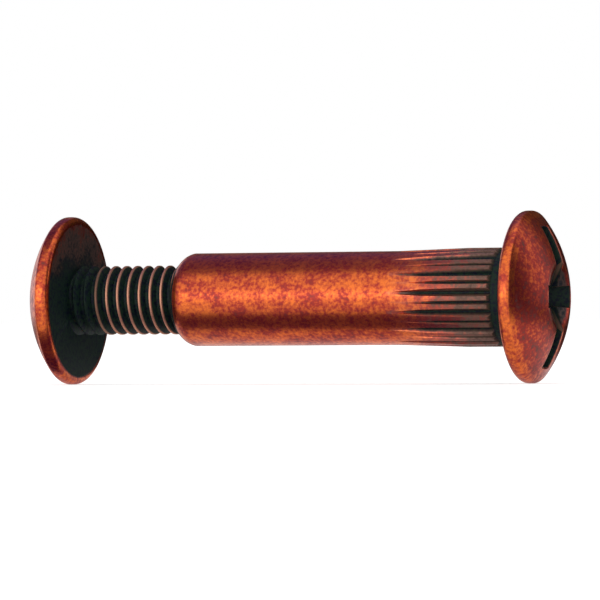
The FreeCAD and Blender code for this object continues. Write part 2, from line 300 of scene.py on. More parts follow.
@dataclass
class DomedHead:
    """The domed head with its combined slot and cross recess, crown towards +X. Lengths are millimetres.

    Attributes:
        diameter: Diameter over the rim.
        height: Height of the whole dome over the bearing face, as if it had no recess.
        under_round: Rounding between the rim and the bearing face.
        land: Straight part of the rim between its two roundings.
        crown_round: Rounding between the rim and the dome.
        rub_width: How far inside its rounding the bearing face has one more ring of points.
        entry_rub: Half the width of the flat that rubbing leaves on the entry cone's rim.
        entry_ring: How far inside that flat the cone has one more ring of points.
        lip: Rounding of the slot's two long edges.
        bare_ring: Ring of the bearing face, next to its rounding, that rubbing still reaches.
        dome_film: Film that is left on the dome.
        lip_wear_and_highlight: Wear of the lips of slot and recess, whose pale colour is also a painted edge
            highlight.
        lip_deep: How far under the dome a lip still counts as one.
        crown_radius: Radius of the dome's sphere, worked out.
        crown_centre: Place of that sphere's centre along the axis, worked out.
        entry_rim: Radius at which the entry cone meets the dome, worked out.
    """

    diameter: float
    height: float = 3.6
    under_round: float = 0.5
    land: float = 0.3
    crown_round: float = 0.4
    rub_width: float = 0.25
    slot_width: float = 1.6
    slot_depth: float = 1.75
    slot_reach: float = 5.9
    entry_diameter: float = 7.8
    entry_depth: float = 1.37
    entry_rub: float = 0.12
    entry_ring: float = 0.15
    wing_span: float = 6.6
    wing_width: float = 2.0
    wing_depth: float = 2.5
    wing_floor_span: float = 2.9
    wing_floor_width: float = 1.3
    pit_depth: float = 0.4
    lip: float = 0.2
    bare_ring: float = 0.1
    dome_film: float = 0.22
    # the lips' pale colour is partly rubbed plating and partly a painted edge highlight
    lip_wear_and_highlight: float = 0.35
    lip_deep: float = 0.05
    crown_steps: int = 26
    edge_steps: int = 6
    under_steps: int = 8
    pit_steps: int = 32
    lip_steps: int = 24
    steps: int = 180
    overrun: float = 0.6
    crown_radius: float = field(init=False)
    crown_centre: float = field(init=False)
    entry_rim: float = field(init=False)

    def __post_init__(self) -> None:
        """Finds the crown's sphere, through the apex and the edge rounding, and where the entry meets it."""
        rise = self.height - self.under_round - self.land
        reach = self.diameter / 2 - self.crown_round
        over = rise**2 + reach**2 - self.crown_round**2
        self.crown_radius = over / (2 * (rise - self.crown_round))
        self.crown_centre = self.height - self.crown_radius
        slope = 2 * self.entry_depth / self.entry_diameter
        fall, spread = self.crown_radius - self.entry_depth, 1 + slope**2
        self.entry_rim = (math.sqrt(self.crown_radius**2 * spread - fall**2) - fall * slope) / spread

    def outline(self, neck: float) -> list[Point]:
        """The head's half section, from the apex round the rim and in along the bearing face.

        Args:
            neck: Radius at which the bearing face meets the shank.

        Returns:
            The outline's points, the last one at the neck.
        """
        rim = self.diameter / 2
        shoulder = self.under_round + self.land
        slope = math.degrees(math.atan2(rim - self.crown_round, shoulder - self.crown_centre))
        crown = arc((self.crown_centre, 0.0), self.crown_radius, 0, slope, self.crown_steps)
        edge = arc((shoulder, rim - self.crown_round), self.crown_round, slope, 90, self.edge_steps)
        under = arc((self.under_round, rim - self.under_round), self.under_round, 90, 180, self.under_steps)
        face = [(0.0, rim - self.under_round - self.rub_width), (0.0, neck)]
        return [(self.height, 0.0)] + crown[1:] + edge[1:] + under + face

    @property
    def bearing_edge(self) -> float:
        """Radius inside which the bearing face is out of reach of rubbing."""
        return self.diameter / 2 - self.under_round - self.bare_ring

    def film(self, at: Vector) -> float:
        """How much film is left on the head: a little on the dome and none on the rim's rounding."""
        return self.dome_film if math.hypot(at.y, at.z) < self.diameter / 2 - self.crown_round + WELD else 0.0

    def wear(self, at: Vector) -> float:
        """How far a place on the crown is rubbed bare and painted pale as a highlight: a little on the lips of
        slot and recess.

        Args:
            at: The place, in the working frame.

        Returns:
            The rubbed share, painted pale as a highlight too, from 0 for none to 1 for bare plating.
        """
        beside = abs(at.y) < self.slot_width / 2 + 1.5 * self.lip and abs(at.z) < self.slot_reach
        inside = math.hypot(at.y, at.z) < self.entry_rim + 1.5 * self.entry_rub
        return self.lip_wear_and_highlight if (beside or inside) and self.depth(at) < self.lip_deep else 0.0

    def depth(self, at: Vector) -> float:
        """How far a place lies under the crown's sphere."""
        return self.crown_radius - (at - Vector((self.crown_centre, 0.0, 0.0))).length

    def cut_drive(self, piece: bpy.types.Object) -> None:
        """Cuts the slot, the cross and their softened lips into a piece's crown.

        Args:
            piece: The turned piece with its head in the working frame.
        """
        combine(piece, self._channel(), Cut.REMOVE)
        combine(piece, self._lips(Vector((0, 0, 1)), self.slot_width / 2, self.slot_reach), Cut.REMOVE)
        combine(piece, self._entry(), Cut.REMOVE)
        combine(piece, self._cross(), Cut.REMOVE)
        combine(piece, self._pit(), Cut.REMOVE)

    def _channel(self) -> bpy.types.Object:
        """Makes the room of the straight slot, whose flat floor runs out where it meets the dome.

        Returns:
            The cutting shape.
        """
        half = self.slot_width / 2
        floor, top = self.height - self.slot_depth, self.height + self.overrun
        corners = ((floor, -half), (floor, half), (top, half), (top, -half))
        ends = (-self.diameter / 2, self.diameter / 2)
        return make_prism("Channel", [[Vector((x, y, end)) for x, y in corners] for end in ends])

    def _entry(self) -> bpy.types.Object:
        """Makes the room of the shallow cone that leads into the recess, its rim rubbed to a narrow flat.

        Returns:
            The cutting shape.
        """
        tip, slope = self.height - self.entry_depth, 2 * self.entry_depth / self.entry_diameter
        inner, outer = self.entry_rim - self.entry_rub, self.entry_rim + self.entry_rub
        dome = self.crown_centre + math.sqrt(self.crown_radius**2 - outer**2)
        above = self.height + self.overrun
        ring = inner - self.entry_ring
        section = [
            (tip, 0), (tip + ring * slope, ring), (tip + inner * slope, inner), (dome, outer),
            (above, outer + self.entry_rub), (above, 0),
        ]
        return turn_on_lathe("Entry", section, self.steps // 2)

    def _cross(self) -> bpy.types.Object:
        """Makes the room of the cross, whose four wings taper from the crown to a flat floor.

        Returns:
            The cutting shape.
        """
        rise = self.wing_depth + self.overrun
        grow = rise / self.wing_depth
        floor = self.height - self.wing_depth
        span = self.wing_floor_span + (self.wing_span - self.wing_floor_span) * grow
        width = self.wing_floor_width + (self.wing_width - self.wing_floor_width) * grow
        bottom = self._cross_section(floor, self.wing_floor_span / 2, self.wing_floor_width / 2)
        top = self._cross_section(floor + rise, span / 2, width / 2)
        return make_prism("Cross", [bottom, top])

    def _cross_section(self, x: float, reach: float, half: float) -> list[Vector]:
        """Lays out the twelve corners of a cross across the axis.

        Args:
            x: Place along the axis.
            reach: How far each wing reaches from the axis.
            half: Half a wing's width.

        Returns:
            The corners in order.
        """
        quarter = [(half, half), (reach, half), (reach, -half)]
        ring = []
        for _ in range(4):
            ring += quarter
            quarter = [(z, -y) for y, z in quarter]
        return [Vector((x, y, z)) for y, z in ring]

    def _pit(self) -> bpy.types.Object:
        """Makes the room of the drill point under the cross.

        Returns:
            The cutting shape.
        """
        floor = self.height - self.wing_depth
        radius = self.wing_floor_width / 2
        above = floor + self.overrun
        section = [(floor - self.pit_depth, 0), (floor, radius), (above, radius), (above, 0)]
        return turn_on_lathe("Pit", section, self.pit_steps)

    def _lips(self, along: Vector, half: float, reach: float) -> bpy.types.Object:
        """Makes the room that rounds a channel's two long edges where its walls meet the dome.

        Args:
            along: The channel's direction.
            half: Half the channel's width at the dome.
            reach: Half its length.

        Returns:
            A section spun round the centre of the dome's sphere.
        """
        across = along.cross(Vector((1, 0, 0)))
        mid = half + self.lip
        level = math.sqrt(self.crown_radius**2 - mid**2) - self.lip
        # two degrees short at each end, so that the curve never lies in a wall's own plane
        curve = arc((mid, level), self.lip, 178, 92, self.edge_steps)
        side = [(half - self.lip / 4, level - self.lip)] + curve + [(mid + self.lip, level + 2 * self.lip)]
        sweep = math.asin(reach / self.crown_radius)
        centre = Vector((self.crown_centre, 0, 0))
        start = Matrix.Rotation(sweep, 3, across) @ Vector((1, 0, 0))
        section = [centre + across * w + start * r for w, r in side + [(-w, r) for w, r in reversed(side)]]
        piece = carry_section("Lips", [section])
        bpy.ops.mesh.spin(steps=self.lip_steps, angle=2 * sweep, center=centre, axis=across)
        close_up()
        return piece


# --- The barrel nut ----------------------------------------------------------------------------------------


@dataclass(frozen=True)
class Flute:
    """One kind of flute between the ribs. Lengths are millimetres.

    Attributes:
        width: Width at the ribs' crests.
        floor: Width of its flat floor.
        depth: Depth under the ribs' crests.
        run_out: Distance from the bearing face at which it begins to climb.
        tip: Distance at which it has climbed out of the metal.
    """

    width: float
    floor: float
    depth: float
    run_out: float
    tip: float


@dataclass
class BarrelNut:
    """The barrel nut: domed head, ribbed barrel and blind threaded bore. Lengths are millimetres.

    Attributes:
        head: The head, whose bearing face the sizes below start from.
        length: From the bearing face to the mouth.
        radius: Radius of the smooth barrel.
        collar: Length of the plain collar under the head.
        crest: Radius over the ribs.
        full_length: How far the ribs keep that radius.
        taper_end: Where the ribs have run down to the smooth barrel.
        nose: Length of the rounding at the mouth.
        nose_drop: How much the nose takes off the radius.
        nose_round: How far it stands out over a straight chamfer.
        nose_shares: Places of its points, as shares of the way to the mouth.
        pairs: How many broad flutes there are, with a narrow one between each two.
        run_on: How far a flute's climbing cutter goes, as a share of the way to its tip.
        thread_depth: Depth of the female thread outside the bore.
        thread_tip: Half the width of its flat root.
        thread_lead: How far its cutter starts inside the bore.
        thread_start: Distance of its first turn from the mouth.
        thread_steps: Facets in one turn of it.
        hollow_depth: Depth under the crests at which a flute is fully dark.
        mouth_shelter: How dark the mouth's own ring is.
        crest_wear_and_highlight: Wear of the ribs' crests, whose pale colour is also a painted highlight.
        crest_depth: How far under the crests that pale colour reaches.
    """

    head: DomedHead
    length: float
    radius: float = 3.95
    neck_flare: float = 0.25
    collar: float = 1.6
    crest: float = 4.15
    shoulder: float = 0.3
    full_length: float = 4.65
    taper_end: float = 10.9
    nose: float = 1.2
    nose_drop: float = 0.82
    nose_round: float = 0.16
    nose_shares: tuple[float, ...] = (0.0, 0.06, 0.14, 0.25, 0.4, 0.55, 0.7, 0.82, 0.91, 0.97)
    neck_steps: int = 4
    bore: float = 3.025
    bore_depth: float = 23.0
    drill_angle: float = 118.0
    mouth_bevel: float = 0.05
    pairs: int = 15
    broad: Flute = Flute(width=0.72, floor=0.12, depth=0.4, run_out=7.8, tip=10.6)
    narrow: Flute = Flute(width=0.36, floor=0.06, depth=0.24, run_out=6.6, tip=9.2)
    overrun: float = 0.5
    run_on: float = 1.25
    pitch: float = 1.0
    flank: float = 30.0
    thread_depth: float = 0.42
    thread_tip: float = 0.05
    thread_lead: float = 0.12
    thread_start: float = 0.8
    thread_steps: int = 60
    hollow_depth: float = 0.35
    mouth_shelter: float = 0.3
    crest_wear_and_highlight: float = 0.2
    crest_depth: float = 0.02

    def build(self) -> bpy.types.Object:
        """Turns the blank, then cuts its thread, flutes and drive.

        Returns:
            The barrel nut in the working frame.
        """
        piece = turn_on_lathe("barrel_nut_piece", self._outline(), self.head.steps)
        self._cut_thread(piece)
        half_step = math.pi / self.pairs
        self._cut_flutes(piece, self.broad, half_step)
        self._cut_flutes(piece, self.narrow, 0.0)
        self.head.cut_drive(piece)
        return piece

    def envelope(self, x: float) -> float:
        """Finds the radius of the barrel over its ribs.

        Args:
            x: Place along the axis.

        Returns:
            The radius there.
        """
        behind = -x
        if behind < self.collar:
            return self.radius
        if behind < self.collar + self.shoulder:
            return self.radius + (self.crest - self.radius) * (behind - self.collar) / self.shoulder
        share = (behind - self.full_length) / (self.taper_end - self.full_length)
        return self.crest - (self.crest - self.radius) * held(share)

    def _outline(self) -> list[Point]:
        """Draws the nut's half section, from the crown's apex to the bottom of the bore.

        Returns:
            The outline's points.
        """
        flare = self.neck_flare
        neck = arc((-flare, self.radius + flare), flare, 0, -90, self.neck_steps)
        ribs = [(-at, self.envelope(-at)) for at in (
            self.collar, self.collar + self.shoulder, self.full_length, self.taper_end)]
        mouth = self.radius - self.nose_drop
        start, end = (-self.length + self.nose, self.radius), (-self.length, mouth)
        bulge = [
            (start[0] - self.nose * t, self.radius - self.nose_drop * t + self._nose_bulge(t))
            for t in self.nose_shares
        ]
        lip = [end, (-self.length, self.bore + self.mouth_bevel), (-self.length + self.mouth_bevel, self.bore)]
        bottom = -self.length + self.bore_depth
        drill = self.bore / math.tan(math.radians(self.drill_angle / 2))
        hole = [(bottom, self.bore), (bottom + drill, 0.0)]
        return self.head.outline(self.radius + flare) + neck[1:] + ribs + bulge + lip + hole

    def _nose_bulge(self, share: float) -> float:
        """How far the nose stands out over a straight chamfer, a share of the way to the mouth."""
        return self.nose_round * math.sin(math.pi * share)

    def _cut_thread(self, piece: bpy.types.Object) -> None:
        """Cuts the right-handed thread outwards from the bore, so that the screw's crests clear it.

        Args:
            piece: The barrel nut.
        """
        half_tip = self.thread_tip
        slope = math.tan(math.radians(self.flank))
        inner, outer = self.bore - self.thread_lead, self.bore + self.thread_depth
        half_base = half_tip + (outer - inner) * slope
        begin = -self.length + self.thread_start + half_base
        section = [
            (begin - half_base, inner), (begin - half_tip, outer),
            (begin + half_tip, outer), (begin + half_base, inner),
        ]
        turns = int((self.bore_depth - self.thread_start) / self.pitch) - 2
        combine(piece, wind_helix("Tap", section, self.pitch, turns, self.thread_steps), Cut.REMOVE)

    def _cut_flutes(self, piece: bpy.types.Object, kind: Flute, turn: float) -> None:
        """Cuts one kind of flute round the barrel, each climbing to a pointed tip.

        Args:
            piece: The barrel nut.
            kind: The flute's sizes.
            turn: Angle of the first one from straight up, in radians.
        """
        floor = self.crest - kind.depth
        climb = self.envelope(-kind.tip) - floor
        half_floor = kind.floor / 2
        half_top = half_floor + (kind.width - kind.floor) / 2 * (kind.depth + self.overrun) / kind.depth
        corners = ((-half_floor, floor), (half_floor, floor),
                   (half_top, self.crest + self.overrun), (-half_top, self.crest + self.overrun))
        stations = (
            (-self.collar, 0.0), (-kind.run_out, 0.0),
            (-kind.run_out - (kind.tip - kind.run_out) * self.run_on, climb * self.run_on),
        )
        tool = make_prism("Flute", [[Vector((x, y, z + lift)) for y, z in corners] for x, lift in stations])
        combine(piece, repeat_round(tool, self.pairs, turn), Cut.REMOVE)

    def shelter(self, at: Vector) -> float:
        """Tells how sheltered from rubbing a place on the nut is.

        Args:
            at: The place, in the working frame.

        Returns:
            The shelter, from 0 on the open faces to 1 in the hollows.
        """
        radius = math.hypot(at.y, at.z)
        if at.x > self.head.under_round:
            return self.head.film(at)
        if at.x > -WELD:
            return 1.0 if radius < self.head.bearing_edge else 0.0
        if radius < self.bore + self.thread_depth + WELD:
            return 1.0 if at.x > -self.length + WELD else self.mouth_shelter
        if -at.x < self.collar + WELD:
            return 1.0
        return held((self.envelope(at.x) - radius) / self.hollow_depth) if -at.x < self.taper_end else 0.0

    def wear(self, at: Vector) -> float:
        """Tells how far a place is rubbed bare and painted pale as a highlight: a little on the ribs' crests and
        the recess's lips.

        Args:
            at: The place, in the working frame.

        Returns:
            The rubbed share, painted pale as a highlight too, from 0 for none to 1 for bare plating.
        """
        if at.x > self.head.under_round:
            return self.head.wear(at)
        on_crest = self.envelope(at.x) - math.hypot(at.y, at.z) < self.crest_depth
        # the ribs' crests get their pale colour as wear and as a painted highlight
        return self.crest_wear_and_highlight if on_crest and self.collar + WELD < -at.x < self.taper_end - WELD else 0.0


# --- The male screw ----------------------------------------------------------------------------------------


@dataclass
class MaleScrew:
    """The male screw: the same domed head on a threaded shank. Lengths are millimetres.

    Attributes:
        head: The head, whose bearing face the sizes below start from.
        length: From the bearing face to the point.
        crest: Radius over the thread.
        root: Radius of the core.
        crest_width: Width of the thread's flat crest.
        rub_depth: How far under the crest the rubbed band reaches.
        rub_bulge: How far that band stands out over a straight flank.
        flank: Angle of the thread's flanks, in degrees.
        embed: How far the ridge reaches into the core.
        spare: How much longer than the screw the core is before its end is cut.
        steps: Facets in one turn of the thread.
        painted_light_from: Height on the bearing face above which it is painted lighter, as painted light on its
            upper part.
        painted_light_over: Over how much height that change is spread.
        painted_light_share: How much less dark the painted light makes it there.
        painted_shade_length: Length of thread next to the head whose crests are kept dark as painted shade.
    """

    head: DomedHead
    length: float
    crest: float = 2.95
    root: float = 2.385
    pitch: float = 1.0
    crest_width: float = 0.13
    rub_depth: float = 0.12
    rub_bulge: float = 0.01
    flank: float = 30.0
    point_chamfer: float = 0.8
    neck_flare: float = 0.2
    embed: float = 0.1
    spare: float = 2.5
    neck_steps: int = 4
    steps: int = 96
    # painted light: the upper part of the screw's bearing face is painted lighter
    painted_light_from: float = 1.5
    painted_light_over: float = 2.0
    painted_light_share: float = 0.56
    # painted shade: the thread's crests next to the head are kept dark
    painted_shade_length: float = 2.3

    def build(self) -> bpy.types.Object:
        """Turns the head and core, cuts the drive, winds the thread on and cuts the end to length.

        Returns:
            The male screw in the working frame.
        """
        piece = turn_on_lathe("male_screw_piece", self._outline(), self.head.steps)
        self.head.cut_drive(piece)
        combine(piece, self._thread(), Cut.ADD)
        combine(piece, self._end(), Cut.REMOVE)
        return piece

    def _outline(self) -> list[Point]:
        """Draws the half section of head and overlong core.

        Returns:
            The outline's points, from the crown's apex to the core's far end.
        """
        flare = self.neck_flare
        neck = arc((-flare, self.root + flare), flare, 0, -90, self.neck_steps)
        far = -self.length - self.spare
        return self.head.outline(self.root + flare) + neck[1:] + [(far, self.root), (far, 0.0)]

    def _thread(self) -> bpy.types.Object:
        """Winds the thread's ridge, from the overlong part of the core to inside the head.

        Returns:
            The ridge.
        """
        half_crest = self.crest_width / 2
        base = self.root - self.embed
        half_base = half_crest + (self.crest - base) * math.tan(math.radians(self.flank))
        turns = int(self.length / self.pitch) + 2
        begin = half_base + self.embed / 2 - self.pitch * turns
        step = self.rub_depth * math.tan(math.radians(self.flank)) + self.rub_bulge
        section = [
            (begin - half_base, base), (begin - half_crest - step, self.crest - self.rub_depth),
            (begin - half_crest, self.crest), (begin + half_crest, self.crest),
            (begin + half_crest + step, self.crest - self.rub_depth), (begin + half_base, base),
        ]
        return wind_helix("Ridge", section, self.pitch, turns, self.steps)

    def _end(self) -> bpy.types.Object:
        """Makes the room past the screw's flat end and round its chamfer.

        Returns:
            The cutting shape.
        """
        clear = self.crest + self.embed
        small = self.crest - self.point_chamfer
        past = -self.length - self.spare - self.embed
        section = [
            (past, 0.0), (past, clear), (-self.length + clear - small, clear),
            (-self.length, small), (-self.length, 0.0),
        ]
        return turn_on_lathe("End", section, self.head.steps)

    def shelter(self, at: Vector) -> float:
        """Tells how sheltered from rubbing a place on the screw is, with painted light on the upper part of its
        bearing face.

        Args:
            at: The place, in the working frame.

        Returns:
            The shelter, from 0 on the open faces to 1 in the hollows.
        """
        if at.x > self.head.under_round:
            return self.head.film(at)
        if at.x > -WELD:
            # painted light: the bearing face is painted lighter towards the top
            inside = math.hypot(at.y, at.z) < self.head.bearing_edge
            return 1.0 - self.painted_light_share * held((at.z - self.painted_light_from) / self.painted_light_over) if inside else 0.0
        return 1.0

    def wear(self, at: Vector) -> float:
        """Tells how far a place is rubbed bare and painted pale as a highlight: fully on the thread's crests, a
        little on the recess's lips.

        Args:
            at: The place, in the working frame.

        Returns:
            The rubbed share, painted pale as a highlight too, from 0 for none to 1 for bare plating.
        """
        if at.x > self.head.under_round:
            return self.head.wear(at)
        radius = math.hypot(at.y, at.z)
        # the thread's crests are painted pale, as bare plating and as their highlight
        rubbed = held((radius - self.crest + self.rub_depth) / self.rub_depth)
        # painted shade: no pale crests on the thread next to the head
        return rubbed * held(-at.x - self.painted_shade_length)


# --- Finishes ----------------------------------------------------------------------------------------------


def linear(code: str) -> tuple[float, float, float, float]:
    """Turns an sRGB hex colour to linear light.

    Args:
        code: The colour, such as "#d9682a".

    Returns:
        Red, green, blue and an alpha of 1.
    """
    values = [int(code[i:i + 2], 16) / 255 for i in (1, 3, 5)]
    red, green, blue = (v / 12.92 if v <= 0.04045 else ((v + 0.055) / 1.055) ** 2.4 for v in values)
    return red, green, blue, 1.0


def add_node(
    tree: bpy.types.NodeTree,
    kind: str,
    sockets: dict[str | int, object] | None = None,
    stops: Sequence[tuple[float, str]] = (),
    **settings: object,
) -> bpy.types.Node:
    """Adds a node with its settings, values and links.

    Args:
        tree: The node tree.
        kind: The node's type name.
        sockets: Input name or number to a value, or to the output socket that feeds it.
        stops: Places and hex colours of a colour ramp.
        **settings: Attributes of the node.

    Returns:
        The new node.
    """
    node = tree.nodes.new(kind)
    for name, value in settings.items():
        setattr(node, name, value)
    for key, value in (sockets or {}).items():
        if isinstance(value, bpy.types.NodeSocket):
            tree.links.new(value, node.inputs[key])
        else:
            node.inputs[key].default_value = value
    for number, (place, code) in enumerate(stops):
        ramp = node.color_ramp.elements
        stop = ramp[number] if number < 2 else ramp.new(place)
        stop.position = place
        stop.color = linear(code)
    return node


def new_material(name: str) -> tuple[bpy.types.Material, bpy.types.NodeTree]:
    """Makes an empty node material.

    Args:
        name: The material's name.

    Returns:
        The material and its node tree.
    """
    material = bpy.data.materials.new(name)
    material.use_nodes = True
    material.node_tree.nodes.clear()
    return material, material.node_tree


@dataclass(frozen=True)
class AntiqueCopper:
    """Steel plated with copper, blackened in an oxide bath and rubbed back by tumbling.

    The open faces come back to orange copper with a mottle of red and umber film, and the hollows that the
    tumbling does not reach stay nearly black, with a faint green or blue cast. A thin lacquer covers the
    open faces. Crests that rub on other metal get a pale pink, as bare plating and as painted highlight.

    Attributes:
        name: The material's name.
        seat: Place of the head's bearing face along the axis, in mm.
        outward: 1 where the crown looks along +X and -1 where it looks along -X.
        head: The head's sizes, which tell the recess from the dome.
        film: Strength of the film that is left on all the open faces.
        fade_start: Place along the axis, in mm, where the colour begins to darken towards the head.
        fade_end: Place where the fade has reached its full share.
        fade_share: How much darker the fade makes it.
        copper: Colour of the rubbed plating.
        red: Colour under a thin film.
        umber: Colour under a thicker one.
        black: Colour of the full oxide.
        green: One cast of the full oxide.
        blue: The other cast.
        worn_and_highlight: Colour of bare rubbed plating, which is also the painted highlight on crests and lips.
        fleck_mm: Size of the fine mottle.
        blotch_mm: Size of the coarse mottle.
        grit_mm: Size of the surface's grain, drawn as coarse as it needs to show.
        cone_share: How dark the cone that leads into the recess is.
    """

    name: str
    seat: float
    outward: float
    head: DomedHead
    film: float
    fade_start: float
    fade_end: float
    fade_share: float
    copper: str = "#f67a34"
    red: str = "#b0382e"
    umber: str = "#583c34"
    black: str = "#0c0c0d"
    green: str = "#182e22"
    blue: str = "#080e22"
    worn_and_highlight: str = "#dca084"
    fleck_mm: float = 0.3
    blotch_mm: float = 1.5
    grit_mm: float = 0.1
    cone_share: float = 0.6

    def material(self) -> bpy.types.Material:
        """Builds the node material.

        Returns:
            The finish, which reads Object coordinates and the piece's shelter and wear attributes.
        """
        material, tree = new_material(self.name)
        where = add_node(tree, "ShaderNodeTexCoord").outputs["Object"]
        fleck = self._noise(tree, where, self.fleck_mm, 3.0)
        blotch = self._noise(tree, where, self.blotch_mm, 2.0)
        grit = self._noise(tree, where, self.grit_mm, 1.0)
        patina = self._patina(tree, where, fleck, blotch)
        cast = self._span(tree, fleck, (0.45, 0.6), (0.0, 1.0))
        cast = add_node(
            tree, "ShaderNodeMix", {0: cast, 6: linear(self.green), 7: linear(self.blue)}, data_type="RGBA",
        ).outputs[2]
        stops = ((0.0, self.copper), (0.88, self.black), (0.3, self.red), (0.6, self.umber))
        tint = add_node(tree, "ShaderNodeValToRGB", {"Fac": patina}, stops=stops).outputs["Color"]
        deep = self._span(tree, patina, (0.75, 1.0), (0.0, 1.0))
        tint = add_node(tree, "ShaderNodeMix", {0: deep, 6: tint, 7: cast}, data_type="RGBA").outputs[2]
        # this attribute is rubbed plating and painted highlight on crests and lips, and painted shade on the
        # screw's thread next to the head
        wear = add_node(tree, "ShaderNodeAttribute", attribute_name=Handle.WEAR.value).outputs["Fac"]
        tint = add_node(
            tree, "ShaderNodeMix", {0: wear, 6: tint, 7: linear(self.worn_and_highlight)}, data_type="RGBA",
        ).outputs[2]
        # oxide is no metal: the thicker it is, the duller it gets and the less lacquer is left on it
        metal = self._span(tree, patina, (0.4, 0.75), (1.0, 0.0))
        metal = self._math(tree, "MAXIMUM", metal, wear)
        rough = self._span(tree, patina, (0.1, 0.9), (0.3, 0.55))
        sheen = self._span(tree, patina, (0.6, 1.0), (0.5, 0.2))
        lacquer = self._span(tree, patina, (0.4, 0.8), (0.25, 0.0))
        relief = add_node(
            tree, "ShaderNodeBump", {"Strength": 0.3, "Distance": 0.02 * MM, "Height": grit},
        ).outputs["Normal"]
        surface = add_node(
            tree, "ShaderNodeBsdfPrincipled",
            {
                "Base Color": tint, "Metallic": metal, "Roughness": rough, "Normal": relief,
                "Specular IOR Level": sheen, "Coat Weight": lacquer, "Coat Roughness": 0.3,
            },
        )
        add_node(tree, "ShaderNodeOutputMaterial", {"Surface": surface.outputs["BSDF"]})
        return material

    def _noise(
        self, tree: bpy.types.NodeTree, where: bpy.types.NodeSocket, size_mm: float, detail: float
    ) -> bpy.types.NodeSocket:
        """Adds a noise from 0 to 1 whose features have a real size."""
        sockets = {"Vector": where, "Scale": 1 / (size_mm * MM), "Detail": detail, "Roughness": 0.6}
        return add_node(tree, "ShaderNodeTexNoise", sockets).outputs["Fac"]

    def _span(
        self,
        tree: bpy.types.NodeTree,
        value: bpy.types.NodeSocket,
        source: tuple[float, float],
        target: tuple[float, float],
    ) -> bpy.types.NodeSocket:
        """Carries a value from one range to another and holds it at the ends."""
        sockets = {0: value, 1: source[0], 2: source[1], 3: target[0], 4: target[1]}
        return add_node(tree, "ShaderNodeMapRange", sockets, clamp=True).outputs[0]

    def _patina(
        self,
        tree: bpy.types.NodeTree,
        where: bpy.types.NodeSocket,
        fleck: bpy.types.NodeSocket,
        blotch: bpy.types.NodeSocket,
    ) -> bpy.types.NodeSocket:
        """Works out how much oxide is left.

        Args:
            tree: The node tree.
            where: Object coordinates.
            fleck: The fine mottle.
            blotch: The coarse mottle.

        Returns:
            The oxide, from 0 for rubbed copper to 1 for black.
        """
        # this attribute is oxide in the hollows, and painted light on the screw's bearing face
        hollow_and_painted_light = add_node(tree, "ShaderNodeAttribute", attribute_name=Handle.SHELTER.value).outputs["Fac"]
        hollow_and_painted_light = self._math(tree, "MAXIMUM", hollow_and_painted_light, self._recess(tree, where))
        hollow_and_painted_light = self._span(tree, hollow_and_painted_light, (0.1, 0.9), (0.0, 0.95))
        along = add_node(tree, "ShaderNodeSeparateXYZ", {"Vector": where}).outputs["X"]
        fade = self._span(tree, along, (self.fade_start * MM, self.fade_end * MM), (0.0, self.fade_share))
        # the fade belongs to the shank, and ends where the bearing face begins
        fade = self._math(tree, "MULTIPLY", fade, self._span(tree, along, (-0.1 * MM, 0.0), (1.0, 0.0)))
        total = self._math(tree, "ADD", hollow_and_painted_light, fade)
        total = self._math(tree, "ADD", total, self._span(tree, fleck, (0.35, 0.7), (-0.12, 0.2)))
        total = self._math(tree, "ADD", total, self._span(tree, blotch, (0.35, 0.7), (-0.05, 0.2)))
        return self._span(tree, total, (-self.film, 1.0 - self.film), (0.0, 1.0))

    def _recess(self, tree: bpy.types.NodeTree, where: bpy.types.NodeSocket) -> bpy.types.NodeSocket:
        """Works out how dark the recess is, from the depth under the dome and under the entry cone.

        Args:
            tree: The node tree.
            where: Object coordinates.

        Returns:
            1 in slot and cross, about a half on the cone that leads into them, and 0 elsewhere.
        """
        head = self.head
        centre = (self.seat + self.outward * head.crown_centre) * MM
        reach = add_node(
            tree, "ShaderNodeVectorMath", {0: where, 1: (centre, 0.0, 0.0)}, operation="DISTANCE",
        ).outputs["Value"]
        under_dome = self._math(tree, "SUBTRACT", head.crown_radius * MM, reach)
        flat = add_node(
            tree, "ShaderNodeVectorMath", {0: where, 1: (0.0, 1.0, 1.0)}, operation="MULTIPLY",
        ).outputs["Vector"]
        radius = add_node(tree, "ShaderNodeVectorMath", {0: flat}, operation="LENGTH").outputs["Value"]
        axis = add_node(tree, "ShaderNodeSeparateXYZ", {"Vector": where}).outputs["X"]
        level = self._math(tree, "MULTIPLY", self._math(tree, "SUBTRACT", axis, self.seat * MM), self.outward)
        slope = 2 * head.entry_depth / head.entry_diameter
        floor = self._math(tree, "MULTIPLY_ADD", radius, slope, (head.height - head.entry_depth) * MM)
        under_cone = self._math(tree, "SUBTRACT", floor, level)
        depth = self._math(tree, "MINIMUM", under_dome, under_cone)
        walls = self._span(tree, depth, (0.02 * MM, 0.12 * MM), (0.0, 1.0))
        cone = self._span(tree, under_dome, (0.05 * MM, 0.35 * MM), (0.0, self.cone_share))
        walls = self._math(tree, "MAXIMUM", walls, cone)
        rim = (head.diameter / 2 - head.crown_round) * MM
        inside = self._span(tree, radius, (rim - 0.2 * MM, rim - 0.1 * MM), (1.0, 0.0))
        outer = self._span(tree, level, (head.under_round * MM, (head.under_round + 0.1) * MM), (0.0, 1.0))
        return self._math(tree, "MULTIPLY", walls, self._math(tree, "MULTIPLY", inside, outer))

    def _math(
        self, tree: bpy.types.NodeTree, operation: str, *values: bpy.types.NodeSocket | float
    ) -> bpy.types.NodeSocket:
        """Adds one step of arithmetic on sockets and plain numbers."""
        return add_node(tree, "ShaderNodeMath", dict(enumerate(values)), operation=operation).outputs[0]


